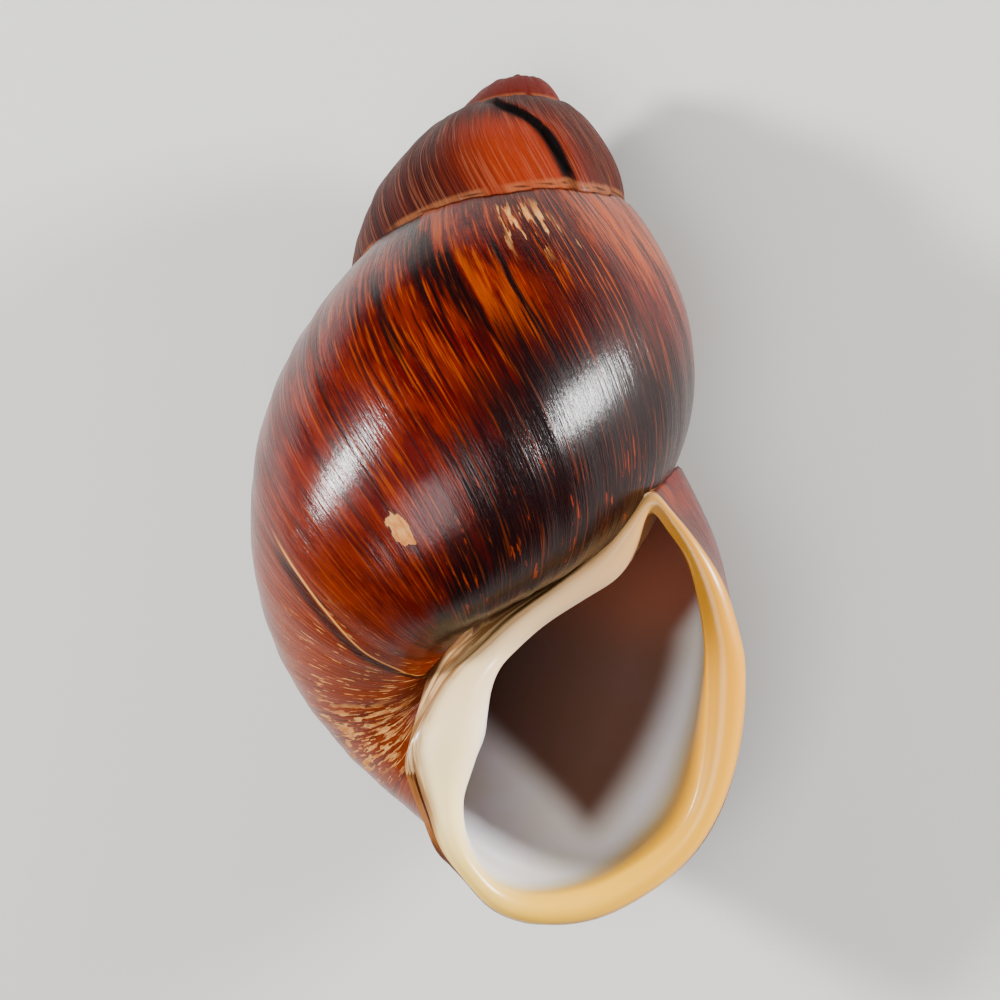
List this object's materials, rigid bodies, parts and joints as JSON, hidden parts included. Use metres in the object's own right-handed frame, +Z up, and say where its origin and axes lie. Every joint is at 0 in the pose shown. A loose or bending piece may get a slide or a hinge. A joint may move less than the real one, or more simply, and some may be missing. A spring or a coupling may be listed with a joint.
{
  "type": "land snail shell",
  "caption": "Empty shell of a large land snail, right-handed and egg-shaped with a blunt tip, a wide oval opening and a thick turned-out lip, lying on its back",
  "frame": {"origin": "centre of the bounding box in X and Y, at the surface the shell rests on in Z", "axes": "the tip points to +Y, the opening faces up along +Z, +X is the side of the opening's outer lip"},
  "size_m": [0.0484, 0.0846, 0.042],
  "materials": {
    "shell": "glossy mahogany brown horny skin with pale streaks outside, glossy cream to golden lip, bluish white inside"
  },
  "bodies": {
    "root": {"shell": "shell"}
  },
  "joints": []
}
